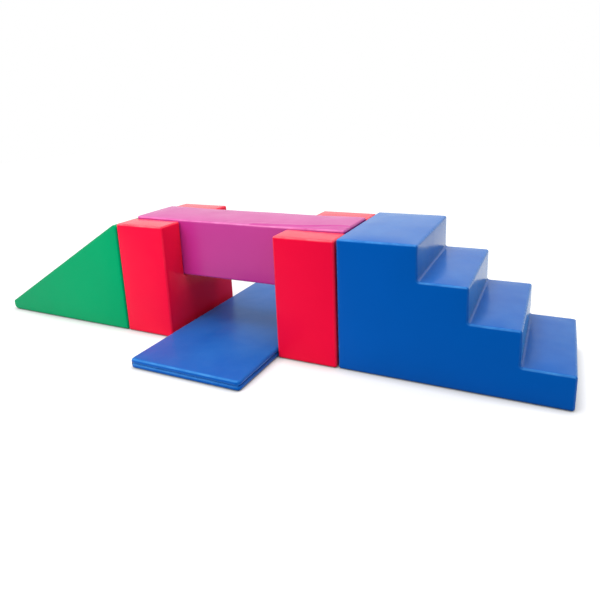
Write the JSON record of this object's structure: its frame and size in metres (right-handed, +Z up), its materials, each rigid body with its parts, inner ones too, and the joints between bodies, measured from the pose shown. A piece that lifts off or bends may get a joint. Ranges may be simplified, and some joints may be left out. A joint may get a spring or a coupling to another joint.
{
  "type": "soft play foam climber",
  "caption": "Toddler soft play climbing set: foam ramp, notched supports carrying a bridge over a crawl tunnel, a flight of stairs and a folded mat, in zipped vinyl covers.",
  "frame": {"origin": "on the floor, at the bottom centre of the bounding box of the assembled set", "axes": "+X from the ramp's toe towards the stairs, +Z up, -Y the front, where the mat sticks out"},
  "size_m": [2.6102, 1.0038, 0.5087],
  "materials": {
    "green_vinyl": "satin",
    "red_vinyl": "satin",
    "purple_vinyl": "satin",
    "blue_vinyl": "satin",
    "foam": "matte",
    "base_fabric": "matte",
    "zip_tape": "matte",
    "zip_metal": "satin"
  },
  "bodies": {
    "left_support": {"left_support_lower_foam": "foam", "left_support_front_cheek_foam": "foam", "left_support_rear_cheek_foam": "foam", "left_support_cover": "red_vinyl", "left_support_base": "base_fabric", "left_support_zip_tape": "zip_tape"},
    "left_support_zip": {"left_support_zip_slider": "zip_metal"},
    "ramp": {"ramp_foam": "foam", "ramp_cover": "green_vinyl", "ramp_base": "base_fabric", "ramp_zip_tape": "zip_tape"},
    "ramp_zip": {"ramp_zip_slider": "zip_metal"},
    "right_support": {"right_support_lower_foam": "foam", "right_support_front_cheek_foam": "foam", "right_support_rear_cheek_foam": "foam", "right_support_cover": "red_vinyl", "right_support_base": "base_fabric", "right_support_zip_tape": "zip_tape"},
    "right_support_zip": {"right_support_zip_slider": "zip_metal"},
    "bridge": {"bridge_foam": "foam", "bridge_cover": "purple_vinyl", "bridge_zip_tape": "zip_tape"},
    "bridge_zip": {"bridge_zip_slider": "zip_metal"},
    "stairs": {"stairs_foam_slab_1": "foam", "stairs_foam_slab_2": "foam", "stairs_foam_slab_3": "foam", "stairs_foam_slab_4": "foam", "stairs_cover": "blue_vinyl", "stairs_base": "base_fabric", "stairs_zip_tape": "zip_tape"},
    "stairs_zip": {"stairs_zip_slider": "zip_metal"},
    "mat_lower": {"mat_lower_foam": "foam", "mat_lower_cover": "blue_vinyl", "mat_base": "base_fabric", "mat_lower_zip_tape": "zip_tape", "mat_hinge_welt": "blue_vinyl"},
    "mat_lower_zip": {"mat_lower_zip_slider": "zip_metal"},
    "mat_upper": {"mat_upper_foam": "foam", "mat_upper_cover": "blue_vinyl", "mat_upper_zip_tape": "zip_tape"},
    "mat_upper_zip": {"mat_upper_zip_slider": "zip_metal"}
  },
  "joints": [
    {"name": "ramp_slide", "type": "slide", "parent": "left_support", "child": "ramp", "axis": [-1, 0, 0], "range_m": [0, 0.4]},
    {"name": "right_support_slide", "type": "slide", "parent": "left_support", "child": "right_support", "axis": [1, 0, 0], "range_m": [0, 0.4]},
    {"name": "stairs_slide", "type": "slide", "parent": "right_support", "child": "stairs", "axis": [1, 0, 0], "range_m": [0, 0.4]},
    {"name": "bridge_lift", "type": "slide", "parent": "left_support", "child": "bridge", "axis": [0, 0, 1], "range_m": [0, 0.3]},
    {"name": "mat_slide", "type": "slide", "parent": "left_support", "child": "mat_lower", "axis": [0, -1, 0], "range_m": [0, 0.8]},
    {"name": "mat_fold", "type": "hinge", "parent": "mat_lower", "child": "mat_upper", "pos_m": [-0.2538, 0, 0.02065], "axis": [0, -1, 0], "range_deg": [0, 22]},
    {"name": "ramp_zip_slide", "type": "slide", "parent": "ramp", "child": "ramp_zip", "axis": [1, 0, 0], "range_m": [0, 0.52]},
    {"name": "left_support_zip_slide", "type": "slide", "parent": "left_support", "child": "left_support_zip", "axis": [1, 0, 0], "range_m": [0, 0.17]},
    {"name": "right_support_zip_slide", "type": "slide", "parent": "right_support", "child": "right_support_zip", "axis": [1, 0, 0], "range_m": [0, 0.17]},
    {"name": "bridge_zip_slide", "type": "slide", "parent": "bridge", "child": "bridge_zip", "axis": [1, 0, 0], "range_m": [0, 0.465]},
    {"name": "stairs_zip_slide", "type": "slide", "parent": "stairs", "child": "stairs_zip", "axis": [1, 0, 0], "range_m": [0, 0.64]},
    {"name": "mat_lower_zip_slide", "type": "slide", "parent": "mat_lower", "child": "mat_lower_zip", "axis": [1, 0, 0], "range_m": [0, 0.38]},
    {"name": "mat_upper_zip_slide", "type": "slide", "parent": "mat_upper", "child": "mat_upper_zip", "axis": [1, 0, 0], "range_m": [0, 0.38]}
  ]
}
